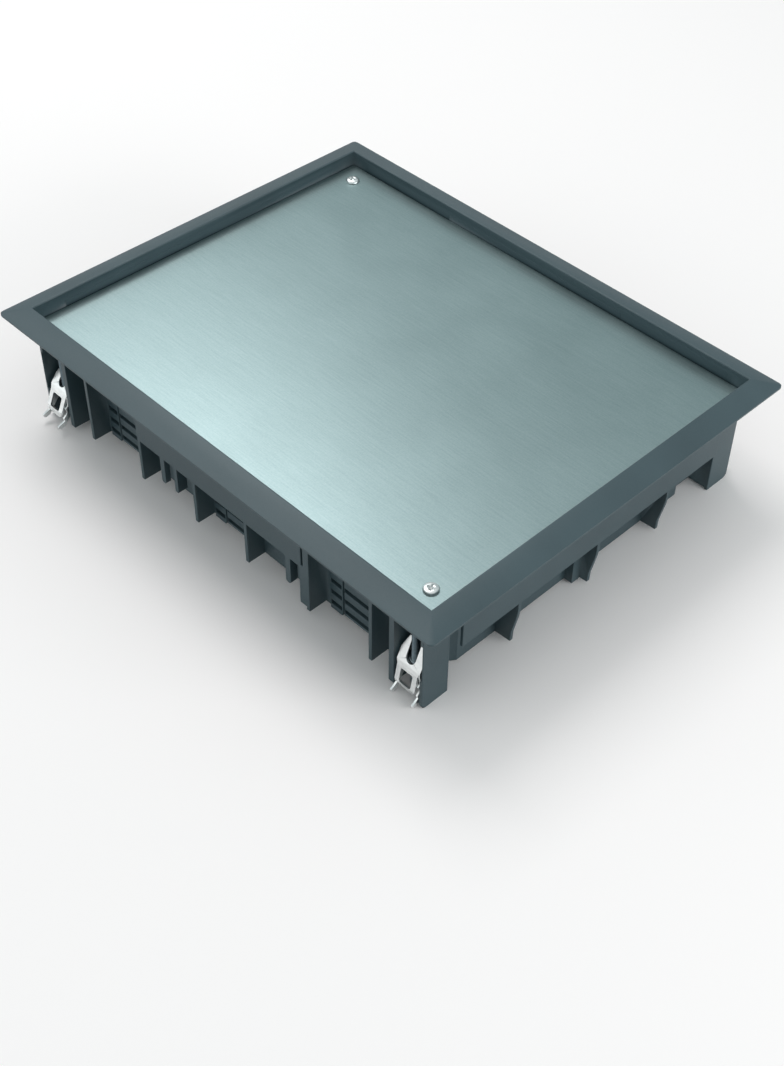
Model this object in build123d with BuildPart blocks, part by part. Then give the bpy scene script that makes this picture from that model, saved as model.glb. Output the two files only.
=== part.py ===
# Floor box cover: a moulded frame that drops into a rectangular cut-out in a
# raised floor, with a steel cover plate in its recess and a clamping claw on a
# long screw in each corner pocket.
# The origin is at the centre of the footprint, on the plane of the lowest
# edges (the corner plates). +X runs along the long side, +Z is up.
import os

from build123d import *

os.makedirs("parts", exist_ok=True)

# Overall sizes
frame_length = 323.0
frame_width = 257.0
flange_drop = 66.5
flange_reach = 11.5
lip_height = 1.2
ridge_inset = 13.1
ridge_rise = 4.1
corner_radius = 3.0
wall = 2.2
thin_wall = 1.7

# Recess and cover plate
plate_thickness = 3.0
plate_gap = 1.0
plate_sink = 4.6
plate_corner = 0.5

# Tub walls, behind the skirts of the long sides and the strips of the short
skirt_gap = 10.7
strip_gap = 13.5
corner_run = 33.0
neck_step = 3.3
neck_run = 4.7
neck_mitre = 0.9
strip_end_gap = 21.5
strip_bottom = 35.6
long_wall_bottom = 60.0
short_wall_bottom = flange_drop - 1.0
skirt_bottom = 33.0
skirt_lap = 0.4

# Corner pockets for the claws
end_setback = 6.0
pocket_width = 17.0
pocket_depth = 15.0
pocket_rib = 3.4
end_plate = 2.0
pocket_roof = 7.0
pocket_rib_bottom = 63.3
end_plate_radius = 3.0
relief_depth = 1.2
relief_top = 23.0
relief_bottom = 47.5
relief_length = 11.0

# Three bays of slots along a long wall, for clipping in wiring accessories
first_bay_inset = 19.4
middle_bay_start = -16.2
last_bay_inset = 51.7
narrow_slot = 8.5
divider = 1.8
wide_slot = 24.0
slot_rows = (42.2, 49.9, 57.2)
slot_height = 3.0
slot_margin = 0.4
tongue_drop = 1.6
groove_width = 0.9
groove_depth = 1.2
groove_top = 36.0

# Ribs of a long side: gaps to the bays, then the stay at the skirt's end
long_rib = 2.3
rib_gaps = (2.8, 6.4, 2.8, 2.6, 5.6, 3.8)
stay_width = 4.9
stay_bottom = 58.0
stay_slit_inset = 2.9
stay_slit_width = 1.4
stay_slit_top = 15.0
stay_slit_bottom = 31.2

# Small catches below the skirt: inset from its ends, and width, depth, bottom
catch_insets = (18.1, 29.1, 15.1)
catch_sizes = ((3.5, 3.2, 49.9), (2.7, 5.8, 49.6), (3.7, 4.6, 50.7))
catch_tip = 0.2

# Ribs along a short side, and the curve of their edge below the strip
short_ribs = (-56.3, 1.0, 55.5)
short_rib = 2.0
fin_toe = 3.5
fin_bottom = 64.8
fin_curve = ((3.2, 58.0), (1.8, 51.5), (0.2, 43.0))
pilaster_y = -3.0
pilaster_width = 6.0
pilaster_depth = 5.0

# Fasteners
screw_radius = 2.0
running_gap = 0.05
screw_chamfer = 0.5
cover_screw_inset = 12.9
cover_head_radius = 4.0
cover_head_height = 1.7
cover_head_rim = 0.6
cover_screw_length = 9.0
insert_radius = 2.9
insert_length = 6.0
claw_head_radius = 3.8
claw_head_height = 2.6
claw_head_chamfer = 0.8
claw_head_sink = 3.4
claw_screw_set = 5.7
claw_screw_tip = 60.0
cross_length = 4.2
cross_width = 1.0
cross_depth = 1.2

# Claw and its barrel nut
pivot_drop = 45.5
barrel_radius = 3.1
pin_radius = 1.5
sheet = 1.2
side_gap = 0.3
claw_gap = 0.9
loop_step = 1.0
bar_width = 2.8
fork_gap = 1.0
fork_floor = 5.1
window_middle = -6.8
window_height = 8.1

# Side outlines of the claw, as outward and upward distances from its pins
strip_outside = (
    (-1.0, 14.8),
    (0.9, 9.7),
    (3.0, 4.7),
    (4.7, 0.9),
    (5.3, -1.7),
    (6.5, -8.6),
    (7.1, -10.8),
    (5.9, -14.9),
)
strip_inside = (
    (4.8, -14.5),
    (5.9, -10.7),
    (5.3, -8.6),
    (4.1, -1.8),
    (3.6, 0.5),
    (1.9, 4.2),
    (-0.2, 9.2),
    (-2.1, 14.4),
)
leg_outline = (
    (1.9, 7.3),
    (3.0, 4.7),
    (4.7, 0.9),
    (4.6, -1.2),
    (4.2, -3.0),
    (4.1, -6.4),
    (5.4, -7.9),
    (4.3, -9.6),
    (4.4, -11.6),
    (5.9, -14.1),
    (5.0, -15.6),
    (9.0, -18.4),
    (8.7, -19.7),
    (6.9, -20.5),
    (4.6, -19.2),
    (2.9, -15.6),
    (0.6, -10.6),
    (-2.2, -5.4),
    (-3.2, -2.2),
    (-3.1, 1.2),
    (-1.9, 4.6),
    (0.4, 7.4),
)
# Edge of the claw's face: distance in from the ears, and height
fork_edge = (
    (3.1, 14.8),
    (1.9, 12.0),
    (0.7, 9.0),
    (0.0, 5.0),
    (0.0, 2.0),
    (0.7, -0.3),
    (1.0, -1.5),
    (1.0, -10.5),
    (1.8, -12.9),
    (3.6, -15.2),
)

# Heights that follow from the sizes above
edge_z = flange_drop
under_z = flange_drop - lip_height
ridge_z = flange_drop + ridge_rise
plate_top_z = flange_drop - plate_sink
ledge_z = plate_top_z - plate_thickness
roof_z = ledge_z - pocket_roof
pivot_z = flange_drop - pivot_drop
claw_screw_tip_z = flange_drop - claw_screw_tip - ledge_z + claw_head_sink

# Places that follow from the sizes above
recess_x = frame_length / 2 - ridge_inset
recess_y = frame_width / 2 - ridge_inset
strip_x = frame_length / 2 - flange_reach
front_plane_y = frame_width / 2 - flange_reach
long_wall_y = front_plane_y - skirt_gap
short_wall_x = strip_x - strip_gap
short_wall_end_y = front_plane_y - corner_run
neck_x = short_wall_x - neck_step
neck_y = short_wall_end_y + neck_run
strip_end_y = front_plane_y - strip_end_gap
pocket_out_x = strip_x - end_setback
pocket_in_x = pocket_out_x - pocket_width
pocket_back_y = front_plane_y - pocket_depth
block_in_x = pocket_in_x - pocket_rib
block_out_x = pocket_out_x + end_plate
block_back_y = pocket_back_y - wall
bay_width = narrow_slot + divider + wide_slot
bay_starts = (first_bay_inset - block_in_x, middle_bay_start, block_in_x - last_bay_inset)
long_rib_lefts = (
    bay_starts[0] - rib_gaps[0],
    bay_starts[0] + bay_width + rib_gaps[1],
    bay_starts[1] - rib_gaps[2],
    bay_starts[1] + bay_width + rib_gaps[3],
    bay_starts[2] - rib_gaps[4],
    bay_starts[2] + bay_width + rib_gaps[5],
)
skirt_left = long_rib_lefts[1] + skirt_lap
skirt_right = long_rib_lefts[4] + skirt_lap
catch_lefts = (
    skirt_left + catch_insets[0],
    skirt_left + catch_insets[1],
    skirt_right - catch_insets[2],
)
plate_half_x = recess_x - plate_gap
plate_half_y = recess_y - plate_gap
cover_screw_x = plate_half_x - cover_screw_inset
cover_screw_y = plate_half_y - cover_screw_inset
claw_screw_x = (pocket_in_x + pocket_out_x) / 2
claw_screw_y = front_plane_y - claw_screw_set
claw_half = pocket_width / 2 - claw_gap
loop_half = claw_half - loop_step
window_half = loop_half - bar_width
fork_slot = screw_radius + fork_gap
barrel_half = claw_half - sheet - side_gap
half_turn = PolarLocations(0, 2)


# Frame: one glass-filled nylon moulding
with BuildPart() as frame:
    # Flange, rising from its thin lip to the ridge round the recess, with
    # mitred corners that are rounded only in plan
    with BuildSketch(Plane.XY.offset(under_z)):
        Rectangle(frame_length, frame_width)
    extrude(amount=lip_height)
    with BuildSketch(Plane.XY.offset(edge_z)):
        Rectangle(frame_length, frame_width)
    with BuildSketch(Plane.XY.offset(ridge_z)):
        Rectangle(2 * recess_x, 2 * recess_y)
    loft()
    with BuildSketch(Plane.XY.offset(under_z)):
        RectangleRounded(frame_length, frame_width, corner_radius)
    extrude(amount=ridge_z, mode=Mode.INTERSECT)

    # Recess tray, down to the ledge that carries the plate
    with BuildSketch(Plane.XY.offset(ledge_z - wall)):
        Rectangle(2 * strip_x, 2 * front_plane_y)
    extrude(amount=edge_z - ledge_z + wall)
    with BuildSketch(Plane.XY.offset(ledge_z)):
        Rectangle(2 * recess_x, 2 * recess_y)
    extrude(amount=ridge_z, mode=Mode.SUBTRACT)
    ridge_edges = frame.edges().filter_by(GeomType.LINE).group_by(Axis.Z)[-1]
    fillet(ridge_edges, radius=0.8)

    # Coring under the flange keeps the moulding's wall even
    with BuildSketch(Plane.XY.offset(under_z)):
        Rectangle(2 * strip_x + 1.4 * flange_reach, 2 * front_plane_y + 1.4 * flange_reach)
        Rectangle(2 * strip_x + 1.0, 2 * front_plane_y + 1.0, mode=Mode.SUBTRACT)
    extrude(amount=1.6, mode=Mode.SUBTRACT)

    # Tub walls: the short ones reach lower than the long ones
    with BuildSketch(Plane.XY.offset(edge_z - short_wall_bottom)):
        with BuildLine():
            Polyline(
                (block_in_x + wall, block_back_y),
                (block_in_x + wall, pocket_back_y),
                (neck_x, pocket_back_y),
                (neck_x, neck_y),
                (short_wall_x, short_wall_end_y),
                (short_wall_x, -short_wall_end_y),
                (neck_x, -neck_y),
                (neck_x, -pocket_back_y),
                (block_in_x + wall, -pocket_back_y),
                (block_in_x + wall, -block_back_y),
                (neck_x - wall, -block_back_y),
                (neck_x - wall, -neck_y + neck_mitre),
                (short_wall_x - wall, -short_wall_end_y + neck_mitre),
                (short_wall_x - wall, short_wall_end_y - neck_mitre),
                (neck_x - wall, neck_y - neck_mitre),
                (neck_x - wall, block_back_y),
                close=True,
            )
        make_face()
        mirror(about=Plane.YZ)
    extrude(amount=ledge_z - edge_z + short_wall_bottom)
    with BuildSketch(Plane.XY.offset(edge_z - long_wall_bottom)):
        with Locations((0, long_wall_y - wall / 2), (0, wall / 2 - long_wall_y)):
            Rectangle(2 * (block_in_x + wall), wall)
        with GridLocations(2 * block_in_x + wall, long_wall_y + block_back_y - wall, 2, 2):
            Rectangle(wall, long_wall_y - block_back_y)
    extrude(amount=ledge_z - edge_z + long_wall_bottom)

    # Corner pockets: roof, inner rib, back wall and outer end plate
    with BuildSketch(Plane.XY.offset(roof_z)):
        with GridLocations(block_in_x + block_out_x, block_back_y + front_plane_y, 2, 2):
            Rectangle(block_out_x - block_in_x, front_plane_y - block_back_y)
    extrude(amount=pocket_roof)
    with BuildSketch(Plane.XY.offset(edge_z - pocket_rib_bottom)):
        with GridLocations(block_in_x + pocket_in_x, block_back_y + front_plane_y, 2, 2):
            Rectangle(pocket_rib, front_plane_y - block_back_y)
    extrude(amount=roof_z - edge_z + pocket_rib_bottom)
    with BuildSketch(Plane.XY.offset(edge_z - short_wall_bottom)):
        with GridLocations(neck_x + block_out_x, block_back_y + pocket_back_y, 2, 2):
            Rectangle(block_out_x - neck_x, wall)
    extrude(amount=roof_z - edge_z + short_wall_bottom)
    with BuildSketch(Plane.YZ.offset(pocket_out_x)):
        with BuildLine():
            Line((block_back_y, 0), (front_plane_y - end_plate_radius, 0))
            RadiusArc(
                (front_plane_y - end_plate_radius, 0),
                (front_plane_y, end_plate_radius),
                -end_plate_radius,
            )
            Line((front_plane_y, end_plate_radius), (front_plane_y, roof_z))
            Line((front_plane_y, roof_z), (block_back_y, roof_z))
            Line((block_back_y, roof_z), (block_back_y, 0))
        make_face()
        mirror(about=Plane.YZ)
    end_plates = extrude(amount=end_plate)
    mirror(end_plates, about=Plane.YZ)
    with BuildSketch(Plane.XY.offset(edge_z - relief_bottom)):
        with GridLocations(2 * pocket_out_x + relief_depth, 2 * front_plane_y - relief_length, 2, 2):
            Rectangle(relief_depth, relief_length)
    extrude(amount=relief_bottom - relief_top, mode=Mode.SUBTRACT)

    # Skirt and ribs of the long sides, the far side being the near one
    # turned half round
    with BuildSketch(Plane.XY.offset(edge_z - skirt_bottom)):
        with half_turn:
            with Locations(((skirt_left + skirt_right) / 2, thin_wall / 2 - front_plane_y)):
                Rectangle(skirt_right - skirt_left, thin_wall)
    extrude(amount=under_z - edge_z + skirt_bottom)
    with BuildSketch(Plane.XY.offset(edge_z - long_wall_bottom)):
        with half_turn:
            for left in long_rib_lefts:
                with Locations((left + long_rib / 2, -(front_plane_y + long_wall_y) / 2)):
                    Rectangle(long_rib, front_plane_y - long_wall_y)
    extrude(amount=ledge_z - edge_z + long_wall_bottom)
    with BuildSketch(Plane.XY.offset(edge_z - stay_bottom)):
        with half_turn:
            with Locations((skirt_right - stay_width / 2, thin_wall / 2 - front_plane_y)):
                Rectangle(stay_width, thin_wall)
    extrude(amount=stay_bottom - skirt_bottom)

    # Catches below the skirt, with rounded tips
    for left, (width, depth, bottom) in zip(catch_lefts, catch_sizes):
        tip = width / 2 - catch_tip
        with BuildSketch(Plane.XZ.offset(front_plane_y)):
            with Locations((left + width / 2, edge_z - (bottom + skirt_bottom) / 2 + 1.0)):
                Rectangle(width, bottom - skirt_bottom + 2.0)
        hook = extrude(amount=-depth, mode=Mode.PRIVATE)
        tip_edges = hook.edges().filter_by(Axis.Y).group_by(Axis.Z)[0]
        hook = hook.fillet(tip, tip_edges)
        with half_turn:
            add(hook)

    # Strips and ribs of the short sides
    with BuildSketch(Plane.XY.offset(edge_z - strip_bottom)):
        with half_turn:
            with Locations((strip_x - thin_wall / 2, 0)):
                Rectangle(thin_wall, 2 * strip_end_y)
    extrude(amount=under_z - edge_z + strip_bottom)
    for rib_y in short_ribs:
        with BuildSketch(Plane.XZ.offset(-rib_y - short_rib / 2)):
            with BuildLine():
                Polyline(
                    (short_wall_x - wall / 2, ledge_z),
                    (short_wall_x - wall / 2, edge_z - short_wall_bottom),
                    (strip_x - fin_toe, edge_z - fin_bottom),
                    (strip_x - fin_curve[0][0], edge_z - fin_curve[0][1]),
                )
                Spline(
                    *[(strip_x - inset, edge_z - drop) for inset, drop in fin_curve],
                    (strip_x, edge_z - strip_bottom),
                )
                Line((strip_x, edge_z - strip_bottom), (strip_x, ledge_z))
                Line((strip_x, ledge_z), (short_wall_x - wall / 2, ledge_z))
            make_face()
        fin = extrude(amount=short_rib, mode=Mode.PRIVATE)
        with half_turn:
            add(fin)
    with BuildSketch(Plane.XY.offset(edge_z - short_wall_bottom)):
        with half_turn:
            with Locations((short_wall_x + pilaster_depth / 2 - wall / 2, pilaster_y)):
                Rectangle(pilaster_depth + wall, pilaster_width)
    extrude(amount=short_wall_bottom - strip_bottom)

    # Opening through the ledge into the floor box below
    with BuildSketch(Plane.XY.offset(ledge_z)):
        with BuildLine():
            Polyline(
                (block_in_x, long_wall_y - wall),
                (block_in_x, block_back_y),
                (neck_x - wall, block_back_y),
                (neck_x - wall, neck_y - neck_mitre),
                (short_wall_x - wall, short_wall_end_y - neck_mitre),
                (short_wall_x - wall, neck_mitre - short_wall_end_y),
                (neck_x - wall, neck_mitre - neck_y),
                (neck_x - wall, -block_back_y),
                (block_in_x, -block_back_y),
                (block_in_x, wall - long_wall_y),
                (-block_in_x, wall - long_wall_y),
                (-block_in_x, -block_back_y),
                (wall - neck_x, -block_back_y),
                (wall - neck_x, neck_mitre - neck_y),
                (wall - short_wall_x, neck_mitre - short_wall_end_y),
                (wall - short_wall_x, short_wall_end_y - neck_mitre),
                (wall - neck_x, neck_y - neck_mitre),
                (wall - neck_x, block_back_y),
                (-block_in_x, block_back_y),
                (-block_in_x, long_wall_y - wall),
                close=True,
            )
        make_face()
    extrude(amount=-edge_z, mode=Mode.SUBTRACT)

    # Accessory slots in three bays of each long wall. Beside the narrow column
    # the wall is grooved, and below it hangs a little lower
    with BuildSketch(Plane.XY.offset(edge_z - long_wall_bottom - tongue_drop)):
        with half_turn:
            for start in bay_starts:
                with Locations((start + narrow_slot / 2, wall / 2 - long_wall_y)):
                    Rectangle(narrow_slot, wall)
    extrude(amount=tongue_drop)
    with BuildSketch(Plane.XZ.offset(long_wall_y)):
        for start in bay_starts:
            for row in slot_rows:
                with Locations((start + narrow_slot / 2, edge_z - row)):
                    Rectangle(narrow_slot - 2 * slot_margin, slot_height)
                with Locations((start + narrow_slot + divider + wide_slot / 2, edge_z - row)):
                    Rectangle(wide_slot, slot_height)
    slots = extrude(amount=-wall, mode=Mode.PRIVATE)
    with BuildSketch(Plane.XZ.offset(long_wall_y)):
        for start in bay_starts:
            with Locations(
                (start + narrow_slot + divider / 2, edge_z - (groove_top + long_wall_bottom) / 2)
            ):
                Rectangle(groove_width, long_wall_bottom - groove_top)
    grooves = extrude(amount=-groove_depth, mode=Mode.PRIVATE)
    with BuildSketch(Plane.XZ.offset(front_plane_y)):
        with Locations((skirt_right - stay_slit_inset, edge_z - (stay_slit_top + stay_slit_bottom) / 2)):
            Rectangle(stay_slit_width, stay_slit_bottom - stay_slit_top)
    stay_slit = extrude(amount=-thin_wall, mode=Mode.PRIVATE)
    with half_turn:
        add(slots, mode=Mode.SUBTRACT)
        add(grooves, mode=Mode.SUBTRACT)
        add(stay_slit, mode=Mode.SUBTRACT)

    # Holes for the claw screws, with their heads sunk below the plate, and
    # for the two inserts on the diagonal
    with Locations(Plane.XY.offset(ledge_z)):
        with GridLocations(2 * claw_screw_x, 2 * claw_screw_y, 2, 2):
            CounterBoreHole(
                radius=screw_radius + running_gap,
                counter_bore_radius=claw_head_radius + 0.4,
                counter_bore_depth=claw_head_sink,
                depth=pocket_roof,
            )
        with Locations((cover_screw_x, -cover_screw_y), (-cover_screw_x, cover_screw_y)):
            Hole(radius=insert_radius + running_gap, depth=insert_length)
frame.part.label = "frame"
export_step(frame.part, "parts/frame.step")


# Cover plate, zinc-coated steel
with BuildPart() as cover_plate:
    with BuildSketch(Plane.XY.offset(ledge_z)):
        RectangleRounded(2 * plate_half_x, 2 * plate_half_y, plate_corner)
        with Locations((cover_screw_x, -cover_screw_y), (-cover_screw_x, cover_screw_y)):
            Circle(screw_radius + 0.25, mode=Mode.SUBTRACT)
    extrude(amount=plate_thickness)
    chamfer(cover_plate.faces().sort_by(Axis.Z)[-1].outer_wire().edges(), length=0.3)
cover_plate.part.label = "cover_plate"
export_step(cover_plate.part, "parts/cover_plate.step")


# Cover screw: cross-recessed pan head
with BuildPart() as cover_screw:
    with BuildSketch(Plane.XZ):
        with BuildLine():
            Polyline(
                (0, cover_head_height),
                (0, -cover_screw_length),
                (screw_radius - screw_chamfer, -cover_screw_length),
                (screw_radius, -cover_screw_length + screw_chamfer),
                (screw_radius, 0),
                (cover_head_radius, 0),
                (cover_head_radius, cover_head_rim),
                (cover_head_radius * 0.86, 0.3 * cover_head_rim + 0.7 * cover_head_height),
                (cover_head_radius * 0.55, cover_head_height),
                close=True,
            )
        make_face()
    revolve(axis=Axis.Z)
    with BuildSketch(Plane.XY.offset(cover_head_height)):
        Rectangle(cross_length, cross_width)
        Rectangle(cross_width, cross_length)
    extrude(amount=-cross_depth, mode=Mode.SUBTRACT)


# Brass insert that takes the cover screw
with BuildPart() as insert:
    with BuildSketch(Plane.XY.offset(-insert_length)):
        Circle(insert_radius)
        Circle(screw_radius + running_gap, mode=Mode.SUBTRACT)
    extrude(amount=insert_length)


# Claw screw: long, turned from above, never leaves its pocket
with BuildPart() as claw_screw:
    with BuildSketch(Plane.XZ):
        with BuildLine():
            Polyline(
                (0, claw_head_height),
                (0, claw_screw_tip_z),
                (screw_radius - screw_chamfer, claw_screw_tip_z),
                (screw_radius, claw_screw_tip_z + screw_chamfer),
                (screw_radius, 0),
                (claw_head_radius, 0),
                (claw_head_radius, claw_head_height - claw_head_chamfer),
                (claw_head_radius - claw_head_chamfer, claw_head_height),
                close=True,
            )
        make_face()
    revolve(axis=Axis.Z)
    with BuildSketch(Plane.XY.offset(claw_head_height)):
        Rectangle(cross_length, cross_width)
        Rectangle(cross_width, cross_length)
    extrude(amount=-cross_depth, mode=Mode.SUBTRACT)


# Barrel nut: runs up and down the claw screw, its pins carry the claw
with BuildPart() as barrel_nut:
    with BuildSketch(Plane.YZ.offset(-barrel_half)):
        Circle(barrel_radius)
    extrude(amount=2 * barrel_half)
    with BuildSketch(Plane.YZ.offset(-claw_half)):
        Circle(pin_radius)
    extrude(amount=2 * claw_half)
    with BuildSketch(Plane.XY):
        Circle(screw_radius + running_gap)
    extrude(amount=barrel_radius + 1.0, both=True, mode=Mode.SUBTRACT)


# Claw: one pressed sheet, drawn about its pins, with outwards being -Y. The
# fork and the loop below it are one bent strip. The two toothed legs are
# folded back from the fork's ears and hold the nut's pins
with BuildPart() as claw:
    with BuildSketch(Plane.YZ.offset(-claw_half)):
        with BuildLine():
            Polyline(*[(-out, up) for out, up in strip_outside + strip_inside], close=True)
        make_face()
    extrude(amount=2 * claw_half)
    with BuildSketch(Plane.XZ.offset(-frame_width / 2)):
        with BuildLine():
            Polyline(
                (fork_slot, fork_floor),
                (fork_slot, fork_edge[0][1]),
                *[(claw_half - inset, up) for inset, up in fork_edge],
                (0, fork_edge[-1][1]),
            )
            RadiusArc((fork_slot, fork_floor), (0, fork_floor - fork_slot), fork_slot)
            Line((0, fork_floor - fork_slot), (0, fork_edge[-1][1]))
        make_face()
        with Locations((0, window_middle)):
            RectangleRounded(2 * window_half, window_height, sheet, mode=Mode.SUBTRACT)
        mirror(about=Plane.YZ)
        with Locations((0, window_middle)):
            RectangleRounded(2 * window_half, window_height, sheet, mode=Mode.SUBTRACT)
    extrude(amount=frame_width, mode=Mode.INTERSECT)
    with BuildSketch(Plane.YZ.offset(claw_half - sheet)):
        with BuildLine():
            Polyline(*[(-out, up) for out, up in leg_outline], close=True)
        make_face()
        Circle(pin_radius + running_gap, mode=Mode.SUBTRACT)
    leg = extrude(amount=sheet)
    mirror(leg, about=Plane.YZ)


corners = {
    "front_left": (-claw_screw_x, -claw_screw_y, 0.0, 14.0),
    "front_right": (claw_screw_x, -claw_screw_y, 0.0, 0.0),
    "rear_right": (claw_screw_x, claw_screw_y, 180.0, 12.0),
    "rear_left": (-claw_screw_x, claw_screw_y, 180.0, 8.0),
}
for corner, (x, y, turn, tilt) in corners.items():
    with BuildPart() as placed_claw:
        with Locations(Location((x, y, pivot_z), (0, 0, turn))):
            with Locations(Location((0, 0, 0), (-tilt, 0, 0))):
                add(claw.part)
    placed_claw.part.label = "claw_" + corner
    export_step(placed_claw.part, "parts/claw_" + corner + ".step")
    with BuildPart() as placed_nut:
        with Locations(Location((x, y, pivot_z), (0, 0, turn))):
            add(barrel_nut.part)
    placed_nut.part.label = "barrel_nut_" + corner
    export_step(placed_nut.part, "parts/barrel_nut_" + corner + ".step")
    with BuildPart() as placed_screw:
        with Locations(Location((x, y, ledge_z - claw_head_sink), (0, 0, 25.0 + tilt))):
            add(claw_screw.part)
    placed_screw.part.label = "claw_screw_" + corner
    export_step(placed_screw.part, "parts/claw_screw_" + corner + ".step")

for corner, x, y, turn in (
    ("front_right", cover_screw_x, -cover_screw_y, 20.0),
    ("rear_left", -cover_screw_x, cover_screw_y, 52.0),
):
    with BuildPart() as placed_cover_screw:
        with Locations(Location((x, y, plate_top_z), (0, 0, turn))):
            add(cover_screw.part)
    placed_cover_screw.part.label = "cover_screw_" + corner
    export_step(placed_cover_screw.part, "parts/cover_screw_" + corner + ".step")
    with BuildPart() as placed_insert:
        with Locations(Location((x, y, ledge_z))):
            add(insert.part)
    placed_insert.part.label = "insert_" + corner
    export_step(placed_insert.part, "parts/insert_" + corner + ".step")
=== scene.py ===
import math

import bmesh
import bpy
from mathutils import Matrix, Vector


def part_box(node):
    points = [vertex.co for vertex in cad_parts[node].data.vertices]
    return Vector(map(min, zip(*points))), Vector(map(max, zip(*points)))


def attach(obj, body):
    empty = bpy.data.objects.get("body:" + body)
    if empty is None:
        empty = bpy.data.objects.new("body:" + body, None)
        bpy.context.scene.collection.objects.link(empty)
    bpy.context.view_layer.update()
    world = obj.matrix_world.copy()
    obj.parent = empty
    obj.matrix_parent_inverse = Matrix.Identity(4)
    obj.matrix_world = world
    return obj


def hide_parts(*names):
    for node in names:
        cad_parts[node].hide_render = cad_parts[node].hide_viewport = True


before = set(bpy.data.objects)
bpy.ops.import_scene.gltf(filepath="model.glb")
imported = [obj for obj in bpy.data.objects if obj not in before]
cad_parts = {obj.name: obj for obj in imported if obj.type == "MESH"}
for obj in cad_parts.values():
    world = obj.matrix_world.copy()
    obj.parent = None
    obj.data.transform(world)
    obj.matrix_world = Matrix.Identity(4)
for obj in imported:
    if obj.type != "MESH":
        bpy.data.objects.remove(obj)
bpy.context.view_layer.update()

MM = 0.001
CORNERS = ("front_left", "front_right", "rear_right", "rear_left")

# CAD corners that lie closer than this are one corner of the mesh
MERGE_DISTANCE = 0.002 * MM
# Edges that turn more than these angles, in degrees, are rounded or shaded sharp
ROUNDED_ABOVE = 25.0
CLAW_ROUNDED_ABOVE = 30.0
SHARP_ABOVE = 38.0
# A rounding takes at most this share of the shortest edge beside it
ROOM_SHARE = 0.42
ROUNDING_SEGMENTS = 2
# The radii that the mould, the shear, the lathe and the press leave on edges
MOULDED_RADIUS = 0.3 * MM
SHEARED_RADIUS = 0.35 * MM
INSERT_RADIUS = 0.2 * MM
NUT_RADIUS = 0.3 * MM
PRESSED_RADIUS = 0.25 * MM
FOLD_RADIUS = 0.6 * MM

# The claw's ear folds are the edges at its sides, above its pins, on its face
PIN_HEIGHT = 21.0 * MM
SIDE_BAND = 0.05 * MM
FACE_TURN = 0.85

# M4 threads. Half of the ridge's foot is a share of the pitch, and the ridge
# reaches into the core by a share of its depth
THREAD_RADIUS = 2.0 * MM
THREAD_PITCH = 0.7 * MM
THREAD_DEPTH = 0.38 * MM
RIDGE_HALF_FOOT = 0.48
RIDGE_ROOT = 0.3
STEPS_PER_TURN = 20
CORE_SIDES = 32
COVER_HEAD_HEIGHT = 1.7 * MM
CLAW_HEAD_HEIGHT = 2.6 * MM
HEAD_MARGIN = 0.05 * MM

# A noise value mostly lies between these
NOISE_LOW = 0.3
NOISE_HIGH = 0.7
# How much rougher a metal's dullest patches are than its smoothest
METAL_GLOSS_RANGE = 0.12

# A soft key high up on the left, and two weaker fills at the front and the
# right: name, place, width and height in metres, and watts
LAMPS = (
    ("key_softbox", (-0.91, 0.23, 1.48), (1.0, 1.0), 11.0),
    ("front_softbox", (-0.6, -1.2, 0.46), (1.6, 0.85), 3.2),
    ("side_softbox", (1.23, 0.35, 0.4), (0.9, 0.55), 6.5),
)
LAMP_TARGET = (0.0, 0.0, 0.05)
# The room's colours by the sine of the height above the horizon
ROOM = (
    (0.0, "#eff2f3"),
    (0.28, "#dfe5e6"),
    (0.45, "#b4c8cb"),
    (0.55, "#b6c9cc"),
    (1.0, "#ffffff"),
)
ROOM_STRENGTH = 0.8
FLOOR_PAPER = "#fdf8f7"
FLOOR_BENCH = "#8f8f8f"
FLOOR_HALF_SIZE = 4.0

# The camera that fits the photo: a slightly long lens just under 0.9 m away,
# looking down across the near corner. The angles are in degrees
CAMERA_SENSOR = 36.0
CAMERA_LENS = 52.61
CAMERA_SHIFT = (-0.05796, -0.01814)
CAMERA_PLACE = (0.46122, -0.44771, 0.57203)
CAMERA_ANGLES = (45.812, -2.0755, 44.342)
CAMERA_NEAR_CLIP = 0.01


# Nodes and colours


def colour(code):
    """An sRGB hex value as linear RGBA."""
    parts = [int(code[i : i + 2], 16) / 255 for i in (1, 3, 5)]
    linear = [p / 12.92 if p <= 0.04045 else ((p + 0.055) / 1.055) ** 2.4 for p in parts]
    return linear + [1.0]


def add_node(tree, kind, inputs=None, **settings):
    """Adds a node with its settings. Each input is joined to a socket or set to
    a value."""
    node = tree.nodes.new(kind)
    for name, value in settings.items():
        setattr(node, name, value)
    for name, value in (inputs or {}).items():
        if isinstance(value, bpy.types.NodeSocket):
            tree.links.new(value, node.inputs[name])
        else:
            node.inputs[name].default_value = value
    return node


def two_tones(tree, value, low, high):
    """A colour that a noise value moves from one tone to another."""
    limits = {"Value": value, "From Min": NOISE_LOW, "From Max": NOISE_HIGH}
    share = add_node(tree, "ShaderNodeMapRange", limits).outputs["Result"]
    tones = {"Factor": share, "A": colour(low), "B": colour(high)}
    return add_node(tree, "ShaderNodeMix", tones, data_type="RGBA").outputs["Result"]


# Materials


def new_material(name):
    """A material with its node tree and its Principled shader."""
    material = bpy.data.materials.new(name)
    material.use_nodes = True
    tree = material.node_tree
    return material, tree, tree.nodes["Principled BSDF"]


def dress(tree, shader, base, gloss, bump):
    tree.links.new(base, shader.inputs["Base Color"])
    tree.links.new(gloss.outputs["Result"], shader.inputs["Roughness"])
    tree.links.new(bump.outputs["Normal"], shader.inputs["Normal"])


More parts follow.
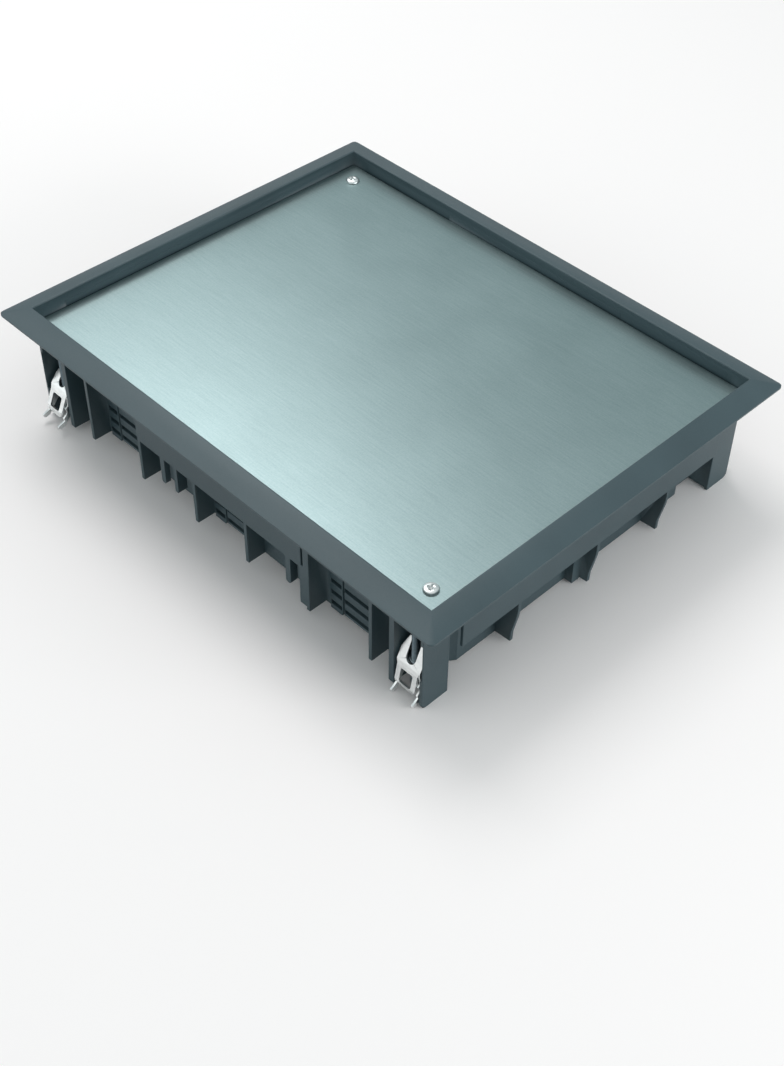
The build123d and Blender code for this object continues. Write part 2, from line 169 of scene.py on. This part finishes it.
def moulded_nylon():
    """Glass-filled nylon, injection moulded in a spark-eroded tool: an even dark
    blue-grey with a fine satin grain, and a faint drift in tone where it flowed."""
    material, tree, shader = new_material("moulded_glass_filled_nylon")
    place = add_node(tree, "ShaderNodeTexCoord").outputs["Object"]
    # The melt ran along the long sides, so the drift is stretched that way
    along = add_node(
        tree,
        "ShaderNodeMapping",
        {"Vector": place, "Scale": (1 / (90 * MM), 1 / (35 * MM), 1 / (35 * MM))},
    )
    flow = add_node(
        tree,
        "ShaderNodeTexNoise",
        {"Vector": along.outputs["Vector"], "Scale": 1.0, "Detail": 3.0},
    )
    # Spark-eroded grain is about 0.1 mm; drawn at 0.5 mm so that it shows
    grain = add_node(
        tree,
        "ShaderNodeTexNoise",
        {"Vector": place, "Scale": 1 / (0.5 * MM), "Detail": 2.0},
    )
    # Glass fibres near the skin give pale flecks of about 1 mm
    fleck = add_node(
        tree,
        "ShaderNodeTexNoise",
        {"Vector": place, "Scale": 1 / (1.1 * MM), "Detail": 4.0},
    )
    tone = two_tones(tree, flow.outputs["Fac"], "#36484e", "#3d5056")
    pale = two_tones(tree, fleck.outputs["Fac"], "#000000", "#0b0c0c")
    flecked = add_node(
        tree,
        "ShaderNodeMix",
        {"Factor": 1.0, "A": tone, "B": pale},
        data_type="RGBA",
        blend_type="ADD",
    )
    gloss = add_node(
        tree,
        "ShaderNodeMapRange",
        {
            "Value": grain.outputs["Fac"],
            "From Min": NOISE_LOW,
            "From Max": NOISE_HIGH,
            "To Min": 0.42,
            "To Max": 0.54,
        },
    )
    bump = add_node(
        tree,
        "ShaderNodeBump",
        {"Height": grain.outputs["Fac"], "Strength": 0.3, "Distance": 0.02 * MM},
    )
    shader.inputs["IOR"].default_value = 1.53
    shader.inputs["Specular IOR Level"].default_value = 0.5
    dress(tree, shader, flecked.outputs["Result"], gloss, bump)
    return material


def rolled_zinc_sheet():
    """Zinc-coated steel sheet, cold rolled: a pale blue-green satin with fine
    streaks along the rolling direction and a soft cloudiness."""
    material, tree, shader = new_material("rolled_zinc_coated_sheet")
    place = add_node(tree, "ShaderNodeTexCoord").outputs["Object"]
    # Roll marks are under 0.1 mm wide; drawn at 0.45 mm so that they show
    along = add_node(
        tree,
        "ShaderNodeMapping",
        {"Vector": place, "Scale": (1 / (14 * MM), 1 / (0.45 * MM), 1 / (14 * MM))},
    )
    streak = add_node(
        tree,
        "ShaderNodeTexNoise",
        {"Vector": along.outputs["Vector"], "Scale": 1.0, "Detail": 4.0},
    )
    cloud = add_node(
        tree,
        "ShaderNodeTexNoise",
        {"Vector": place, "Scale": 1 / (40 * MM), "Detail": 3.0},
    )
    speck = add_node(
        tree,
        "ShaderNodeTexNoise",
        {"Vector": place, "Scale": 1 / (0.9 * MM), "Detail": 2.0},
    )
    tone = two_tones(tree, streak.outputs["Fac"], "#94a6a7", "#9eafb0")
    mottle = two_tones(tree, speck.outputs["Fac"], "#f3f6f6", "#ffffff")
    mottled = add_node(
        tree,
        "ShaderNodeMix",
        {"Factor": 1.0, "A": tone, "B": mottle},
        data_type="RGBA",
        blend_type="MULTIPLY",
    )
    gloss = add_node(
        tree,
        "ShaderNodeMapRange",
        {
            "Value": cloud.outputs["Fac"],
            "From Min": NOISE_LOW,
            "From Max": NOISE_HIGH,
            "To Min": 0.33,
            "To Max": 0.38,
        },
    )
    bump = add_node(
        tree,
        "ShaderNodeBump",
        {"Height": streak.outputs["Fac"], "Strength": 0.1, "Distance": 0.01 * MM},
    )
    shader.inputs["Metallic"].default_value = 1.0
    dress(tree, shader, mottled.outputs["Result"], gloss, bump)
    return material


def worked_metal(name, low, high, smoothest, patch):
    """Plated steel or turned brass: a little uneven in tone and gloss in patches
    of the given size, with the soft ripple that the press or the lathe left."""
    material, tree, shader = new_material(name)
    place = add_node(tree, "ShaderNodeTexCoord").outputs["Object"]
    cloud = add_node(
        tree, "ShaderNodeTexNoise", {"Vector": place, "Scale": 1 / patch, "Detail": 3.0}
    )
    # Tool marks are a few hundredths of a mm; drawn at 0.25 mm so that they show
    ripple = add_node(
        tree,
        "ShaderNodeTexNoise",
        {"Vector": place, "Scale": 1 / (0.25 * MM), "Detail": 2.0},
    )
    tone = two_tones(tree, cloud.outputs["Fac"], low, high)
    gloss = add_node(
        tree,
        "ShaderNodeMapRange",
        {
            "Value": cloud.outputs["Fac"],
            "From Min": NOISE_LOW,
            "From Max": NOISE_HIGH,
            "To Min": smoothest,
            "To Max": smoothest + METAL_GLOSS_RANGE,
        },
    )
    bump = add_node(
        tree,
        "ShaderNodeBump",
        {"Height": ripple.outputs["Fac"], "Strength": 0.15, "Distance": 0.01 * MM},
    )
    shader.inputs["Metallic"].default_value = 1.0
    dress(tree, shader, tone, gloss, bump)
    return material


NYLON = moulded_nylon()
SHEET = rolled_zinc_sheet()
# Bright zinc over pressed sheet: nearly white, and satin rather than mirror-like
CLAW_ZINC = worked_metal("bright_zinc_pressed_steel", "#e0e4e4", "#eff1f0", 0.3, 2.5 * MM)
# Bright zinc over a cold-headed screw: as pale, in finer patches
SCREW_ZINC = worked_metal("bright_zinc_headed_steel", "#dde2e2", "#eef1f0", 0.3, 1.5 * MM)
# Zinc on a rolled thread, in a dark grey that is painted shade: the shade down the claw
# pockets where the screws run
THREAD_ZINC_PAINTED_SHADE = worked_metal("zinc_thread_painted_shade", "#5f696f", "#737d83", 0.3, 1.5 * MM)
# A turned nut's zinc, a little duller than the claw's; its mid grey is painted shade, for
# the shaded pocket the nut sits in
NUT_ZINC_PAINTED_SHADE = worked_metal("zinc_nut_painted_shade", "#727b81", "#868f95", 0.32, 1.5 * MM)
# Turned brass is left bare: a warm yellow with a soft shine
BRASS = worked_metal("turned_brass", "#c8a860", "#d6b870", 0.25, 1.0 * MM)


# Mesh helpers


def new_piece(name, mesh, material):
    piece = bpy.data.objects.new(name, mesh)
    bpy.context.scene.collection.objects.link(piece)
    mesh.materials.clear()
    mesh.materials.append(material)
    return piece


def mesh_from(bm, name):
    mesh = bpy.data.meshes.new(name)
    bm.to_mesh(mesh)
    bm.free()
    return mesh


def settled(piece):
    """The piece with its modifiers turned into plain mesh."""
    shape = piece.evaluated_get(bpy.context.evaluated_depsgraph_get())
    mesh = bpy.data.meshes.new_from_object(shape)
    piece.modifiers.clear()
    piece.data = mesh
    return piece


def merged_copy(node):
    """A CAD node's mesh with its corners merged."""
    bm = bmesh.new()
    bm.from_mesh(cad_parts[node].data)
    bmesh.ops.remove_doubles(bm, verts=bm.verts, dist=MERGE_DISTANCE)
    return bm


def room_at(edge, vert):
    """How far an edge's rounding may run before it meets the next corner."""
    beside = [e.calc_length() for e in vert.link_edges if e is not edge]
    return ROOM_SHARE * min(beside, default=1.0)


def shaded(piece):
    """Smooth over the rounding, with flat faces kept flat."""
    piece.data.shade_smooth()
    piece.data.set_sharp_from_angle(angle=math.radians(SHARP_ABOVE))
    flat = piece.modifiers.new("flatness", "WEIGHTED_NORMAL")
    flat.weight = 100
    flat.keep_sharp = True
    return settled(piece)


def rounded(bm, name, material, radius, above=ROUNDED_ABOVE, wider=None):
    """A piece whose outward edges are rounded by the radius, or less where there
    is no room. The wider function gives some edges a radius of their own."""
    layer = bm.edges.layers.float.new("bevel_weight_edge")
    widths = {}
    for edge in bm.edges:
        if edge.is_convex and edge.calc_face_angle(0.0) > math.radians(above):
            asked = wider(edge) if wider else None
            room = min(room_at(edge, v) for v in edge.verts)
            widths[edge] = min(asked or radius, room)
    widest = max(widths.values())
    for edge, value in widths.items():
        edge[layer] = value / widest
    piece = new_piece(name, mesh_from(bm, name), material)
    bevel = piece.modifiers.new("rounding", "BEVEL")
    bevel.limit_method = "WEIGHT"
    bevel.width = widest
    bevel.segments = ROUNDING_SEGMENTS
    bevel.use_clamp_overlap = False
    return shaded(settled(piece))


def stands_for(piece, node, body):
    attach(piece, body)
    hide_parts(node)


# Frame and cover


def frame_and_cover():
    """The moulding, the sheared plate, and the inserts for the plate's screws."""
    moulding = rounded(merged_copy("frame"), "ribbed_frame", NYLON, MOULDED_RADIUS)
    stands_for(moulding, "frame", "frame")
    plate = rounded(merged_copy("cover_plate"), "cover_sheet", SHEET, SHEARED_RADIUS)
    stands_for(plate, "cover_plate", "frame")
    for corner in ("front_right", "rear_left"):
        node = "insert_" + corner
        insert = rounded(merged_copy(node), "brass_" + node, BRASS, INSERT_RADIUS)
        stands_for(insert, node, "frame")


# Claws and nuts


def pressed_claw(corner):
    """The pressed claw: softened cut edges, and a wider press bend where each
    leg folds back from the ears."""
    node = "claw_" + corner
    low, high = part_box(node)
    middle = (low[0] + high[0]) / 2
    half = (high[0] - low[0]) / 2
    outward = math.copysign(1.0, low[1])

    def fold_radius(edge):
        at_side = all(abs(v.co.x - middle) > half - SIDE_BAND for v in edge.verts)
        above_pin = all(v.co.z > PIN_HEIGHT for v in edge.verts)
        on_face = any(f.normal.y * outward > FACE_TURN for f in edge.link_faces)
        return FOLD_RADIUS if at_side and above_pin and on_face else None

    claw = rounded(
        merged_copy(node),
        "pressed_" + node,
        CLAW_ZINC,
        PRESSED_RADIUS,
        CLAW_ROUNDED_ABOVE,
        fold_radius,
    )
    stands_for(claw, node, node)


def barrel_nut(corner):
    node = "barrel_nut_" + corner
    # The nut's mid grey is painted shade
    nut = rounded(merged_copy(node), "turned_" + node, NUT_ZINC_PAINTED_SHADE, NUT_RADIUS)
    stands_for(nut, node, "nut_" + corner)


# Screws


def thread_tree():
    """Geometry Nodes for a rolled thread: a core with a ridge wound round it."""
    tree = bpy.data.node_groups.new("rolled_thread", "GeometryNodeTree")
    for name in ("Radius", "Depth", "Pitch", "Length"):
        tree.interface.new_socket(name, in_out="INPUT", socket_type="NodeSocketFloat")
    tree.interface.new_socket("Finish", in_out="INPUT", socket_type="NodeSocketMaterial")
    tree.interface.new_socket("Geometry", in_out="OUTPUT", socket_type="NodeSocketGeometry")
    given = add_node(tree, "NodeGroupInput").outputs

    minus_depth = {0: given["Radius"], 1: given["Depth"]}
    root = add_node(tree, "ShaderNodeMath", minus_depth, operation="SUBTRACT").outputs[0]
    # The ridge stops half a pitch from each end of the core
    minus_pitch = {0: given["Length"], 1: given["Pitch"]}
    wound = add_node(tree, "ShaderNodeMath", minus_pitch, operation="SUBTRACT").outputs[0]
    by_pitch = {0: wound, 1: given["Pitch"]}
    turns = add_node(tree, "ShaderNodeMath", by_pitch, operation="DIVIDE").outputs[0]
    # Reverse makes the screw right-handed
    winding = add_node(
        tree,
        "GeometryNodeCurveSpiral",
        {
            "Resolution": STEPS_PER_TURN,
            "Rotations": turns,
            "Start Radius": root,
            "End Radius": root,
            "Height": wound,
            "Reverse": True,
        },
    )
    upright = add_node(
        tree, "GeometryNodeSetCurveNormal", {"Curve": winding.outputs["Curve"]}, mode="Z_UP"
    )
    # The ridge's section points outwards, with its foot a little in the core
    corners = {}
    for corner, axis, size, share in (
        ("Point 1", "Y", "Pitch", RIDGE_HALF_FOOT),
        ("Point 2", "X", "Depth", 1.0),
        ("Point 3", "Y", "Pitch", -RIDGE_HALF_FOOT),
        ("Point 4", "X", "Depth", -RIDGE_ROOT),
    ):
        product = {0: given[size], 1: share}
        reach = add_node(tree, "ShaderNodeMath", product, operation="MULTIPLY")
        place = add_node(tree, "ShaderNodeCombineXYZ", {axis: reach.outputs[0]})
        corners[corner] = place.outputs[0]
    section = add_node(
        tree, "GeometryNodeCurvePrimitiveQuadrilateral", corners, mode="POINTS"
    )
    ridge = add_node(
        tree,
        "GeometryNodeCurveToMesh",
        {
            "Curve": upright.outputs["Curve"],
            "Profile Curve": section.outputs["Curve"],
            "Fill Caps": True,
        },
    )
    core = add_node(
        tree,
        "GeometryNodeMeshCylinder",
        {"Vertices": CORE_SIDES, "Radius": root, "Depth": given["Length"]},
    )
    # The ridge starts half a pitch up, and the core half its length up
    joined = add_node(tree, "GeometryNodeJoinGeometry")
    for part, size in ((ridge, "Pitch"), (core, "Length")):
        product = {0: given[size], 1: 0.5}
        half = add_node(tree, "ShaderNodeMath", product, operation="MULTIPLY")
        lift = add_node(tree, "ShaderNodeCombineXYZ", {"Z": half.outputs[0]})
        raised = add_node(
            tree,
            "GeometryNodeTransform",
            {"Geometry": part.outputs["Mesh"], "Translation": lift.outputs[0]},
        )
        tree.links.new(raised.outputs["Geometry"], joined.inputs["Geometry"])
    real = add_node(
        tree, "GeometryNodeRealizeInstances", {"Geometry": joined.outputs["Geometry"]}
    )
    finish = add_node(
        tree,
        "GeometryNodeSetMaterial",
        {"Geometry": real.outputs["Geometry"], "Material": given["Finish"]},
    )
    add_node(tree, "NodeGroupOutput", {"Geometry": finish.outputs["Geometry"]})
    return tree


def thread_mesh(tree, length):
    """The thread as a plain mesh, standing on the origin."""
    maker = new_piece("thread", bpy.data.meshes.new("thread"), THREAD_ZINC_PAINTED_SHADE)
    made = maker.modifiers.new("thread", "NODES")
    made.node_group = tree
    inputs = {
        "Radius": THREAD_RADIUS,
        "Depth": THREAD_DEPTH,
        "Pitch": THREAD_PITCH,
        "Length": length,
        "Finish": THREAD_ZINC_PAINTED_SHADE,
    }
    for socket in tree.interface.items_tree:
        if socket.in_out == "INPUT":
            made[socket.identifier] = inputs[socket.name]
    mesh = settled(maker).data
    bpy.data.objects.remove(maker)
    return mesh


def screw(node, head_height, tree, piece_name):
    """A machine screw: the headed end with its cross recess, and a rolled thread."""
    low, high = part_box(node)
    under_head = high[2] - head_height
    bm = merged_copy(node)
    # The plain shank goes, and the thread takes its place
    below = [v for v in bm.verts if v.co.z < under_head - HEAD_MARGIN]
    bmesh.ops.delete(bm, geom=below, context="VERTS")
    bmesh.ops.holes_fill(bm, edges=[e for e in bm.edges if e.is_boundary])
    head = shaded(new_piece(piece_name, mesh_from(bm, piece_name), SCREW_ZINC))

    thread = thread_mesh(tree, under_head - low[2])
    foot = ((low[0] + high[0]) / 2, (low[1] + high[1]) / 2, low[2])
    thread.transform(Matrix.Translation(foot))
    joined = bmesh.new()
    joined.from_mesh(head.data)
    for face in joined.faces:
        face.material_index = 0
    head_faces = len(joined.faces)
    joined.from_mesh(thread)
    joined.faces.ensure_lookup_table()
    shank = joined.faces[head_faces:]
    for face in shank:
        face.material_index = 1
        face.smooth = False
    bmesh.ops.recalc_face_normals(joined, faces=shank)
    joined.to_mesh(head.data)
    joined.free()
    # The thread's faces take the dark grey of painted shade
    head.data.materials.append(THREAD_ZINC_PAINTED_SHADE)
    stands_for(head, node, "frame")


def screws():
    tree = thread_tree()
    for corner in CORNERS:
        screw("claw_screw_" + corner, CLAW_HEAD_HEIGHT, tree, "long_screw_" + corner)
    for corner in ("front_right", "rear_left"):
        screw("cover_screw_" + corner, COVER_HEAD_HEIGHT, tree, "pan_head_screw_" + corner)


# Studio


def room():
    """The world: a pale wall all round, dimmer where it meets the pale ceiling."""
    world = bpy.data.worlds.new("studio")
    bpy.context.scene.world = world
    world.use_nodes = True
    tree = world.node_tree
    tree.nodes.clear()
    direction = add_node(tree, "ShaderNodeTexCoord").outputs["Generated"]
    height = add_node(tree, "ShaderNodeSeparateXYZ", {"Vector": direction}).outputs["Z"]
    shade = add_node(tree, "ShaderNodeValToRGB", {"Fac": height})
    bands = shade.color_ramp.elements
    while len(bands) < len(ROOM):
        bands.new(0.5)
    for band, (position, code) in zip(bands, ROOM):
        band.position = position
        band.color = colour(code)
    background = add_node(
        tree,
        "ShaderNodeBackground",
        {"Color": shade.outputs["Color"], "Strength": ROOM_STRENGTH},
    )
    add_node(tree, "ShaderNodeOutputWorld", {"Surface": background.outputs[0]})


def paper_floor():
    """White paper to the camera and in the metal's reflections, and a darker
    bench to the light that would otherwise come up under the ribs."""
    material, tree, shader = new_material("matt_paper_floor")
    ray = add_node(tree, "ShaderNodeLightPath").outputs
    seen = ray["Is Camera Ray"]
    for kind in ("Is Glossy Ray", "Is Transmission Ray"):
        either = {0: seen, 1: ray[kind]}
        seen = add_node(tree, "ShaderNodeMath", either, operation="MAXIMUM").outputs[0]
    sheets = {"Factor": seen, "A": colour(FLOOR_BENCH), "B": colour(FLOOR_PAPER)}
    paper = add_node(tree, "ShaderNodeMix", sheets, data_type="RGBA")
    tree.links.new(paper.outputs["Result"], shader.inputs["Base Color"])
    shader.inputs["Roughness"].default_value = 0.9
    bm = bmesh.new()
    bmesh.ops.create_grid(bm, x_segments=1, y_segments=1, size=FLOOR_HALF_SIZE)
    new_piece("floor", mesh_from(bm, "floor"), material)


def area_light(name, place, size, power):
    light = bpy.data.lights.new(name, "AREA")
    light.shape = "RECTANGLE"
    light.size, light.size_y = size
    light.energy = power
    lamp = bpy.data.objects.new(name, light)
    bpy.context.scene.collection.objects.link(lamp)
    lamp.location = place
    lamp.visible_camera = False
    aim = Vector(LAMP_TARGET) - Vector(place)
    lamp.rotation_euler = aim.to_track_quat("-Z", "Y").to_euler()


def photo_camera():
    camera = bpy.data.cameras.new("camera")
    camera.sensor_width = CAMERA_SENSOR
    camera.lens = CAMERA_LENS
    camera.shift_x, camera.shift_y = CAMERA_SHIFT
    camera.clip_start = CAMERA_NEAR_CLIP
    view = bpy.data.objects.new("camera", camera)
    bpy.context.scene.collection.objects.link(view)
    view.location = CAMERA_PLACE
    view.rotation_euler = [math.radians(a) for a in CAMERA_ANGLES]
    bpy.context.scene.camera = view


frame_and_cover()
for corner in CORNERS:
    pressed_claw(corner)
    barrel_nut(corner)
screws()

bpy.context.scene.view_settings.view_transform = "Standard"
room()
paper_floor()
for lamp in LAMPS:
    area_light(*lamp)
photo_camera()
